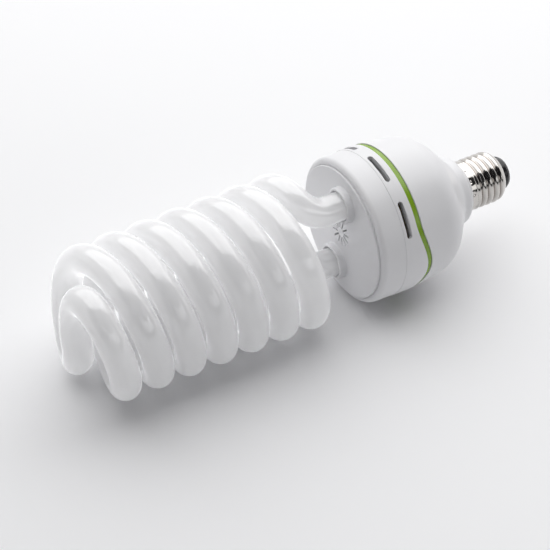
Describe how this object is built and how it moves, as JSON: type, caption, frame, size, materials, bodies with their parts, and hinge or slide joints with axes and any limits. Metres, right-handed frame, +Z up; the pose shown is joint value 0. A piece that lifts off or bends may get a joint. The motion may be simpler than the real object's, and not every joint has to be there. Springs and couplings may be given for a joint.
{
  "type": "spiral energy saving bulb",
  "caption": "Spiral compact fluorescent lamp with a milky double-coil tube, white ballast housing, wavy green band and screw cap, lying on its side.",
  "frame": {"origin": "bottom centre of the lamp's box, on the surface that it lies on", "axes": "+X along the lamp towards the cap, raised by the coil's taper of 0.745 degrees; +Z up"},
  "size_m": [0.2428, 0.0766, 0.0766],
  "materials": {
    "milky_glass": "gloss, coated inside so that it is milky and can't be seen through",
    "white_plastic": "satin moulding",
    "green_plastic": "satin moulding",
    "nickel": "bright plated sheet",
    "black_glass": "gloss, opaque",
    "contact_brass": "bare, with solder",
    "cement": "matte",
    "tinned_wire": "tinned",
    "board": "bare paper laminate",
    "ferrite": "matte",
    "black_plastic": "matte",
    "copper": "enamelled wire",
    "capacitor_sleeve": "shrunk sleeve",
    "film_case": "dipped",
    "resistor_body": "lacquered",
    "lead_sleeve": "matte sleeve"
  },
  "bodies": {
    "root": {"discharge_tube": "milky_glass", "front_cover": "white_plastic", "trim_ring": "green_plastic", "rear_housing": "white_plastic", "screw_shell": "nickel", "cap_insulator": "black_glass", "centre_contact": "contact_brass", "tube_cement": "cement", "tube_leads": "tinned_wire", "circuit_board": "board", "choke_core": "ferrite", "choke_bobbin": "black_plastic", "choke_winding": "copper", "smoothing_capacitor": "capacitor_sleeve", "resonant_capacitor": "film_case", "film_capacitors": "film_case", "drive_transformer_core": "ferrite", "drive_transformer_windings": "copper", "transistor_left": "black_plastic", "transistor_right": "black_plastic", "rectifier_diodes": "black_plastic", "resistors": "resistor_body", "fuse_resistor": "resistor_body", "filter_choke": "ferrite", "live_lead": "lead_sleeve", "neutral_lead": "lead_sleeve"}
  },
  "joints": []
}
